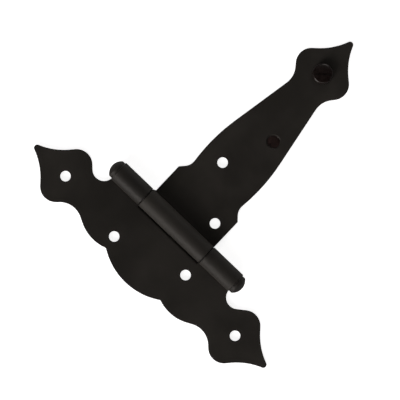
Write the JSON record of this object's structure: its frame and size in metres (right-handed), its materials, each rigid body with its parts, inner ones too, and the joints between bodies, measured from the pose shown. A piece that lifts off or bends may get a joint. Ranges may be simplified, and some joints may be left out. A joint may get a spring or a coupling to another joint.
{
  "type": "tee hinge",
  "caption": "Ornamental tee hinge for a door or gate: a long tapered strap leaf with a spade tip turns on a rolled-knuckle barrel against a wide spade-ended pad leaf.",
  "frame": {"origin": "the point on the back plane of the leaves straight under the middle of the pin's axis, which is 6.65 mm above it", "axes": "+X along the pin, +Y from the pin towards the strap's tip, +Z out of the front, away from the door"},
  "size_m": [0.1916, 0.1979, 0.0368],
  "materials": {
    "leaf_paint": "satin black paint over rolled steel sheet",
    "pin_paint": "satin black paint over a steel pin",
    "screw_black": "black oxide, slightly oily"
  },
  "bodies": {
    "pad": {"pad_leaf": "leaf_paint", "hinge_pin": "pin_paint", "pin_cap": "pin_paint"},
    "strap": {"strap_leaf": "leaf_paint", "tip_screw": "screw_black", "middle_screw": "screw_black"}
  },
  "joints": [
    {"name": "strap_swing", "type": "hinge", "parent": "pad", "child": "strap", "pos_m": [0, 0, 0.00665], "axis": [1, 0, 0], "range_deg": [0, 180]}
  ]
}
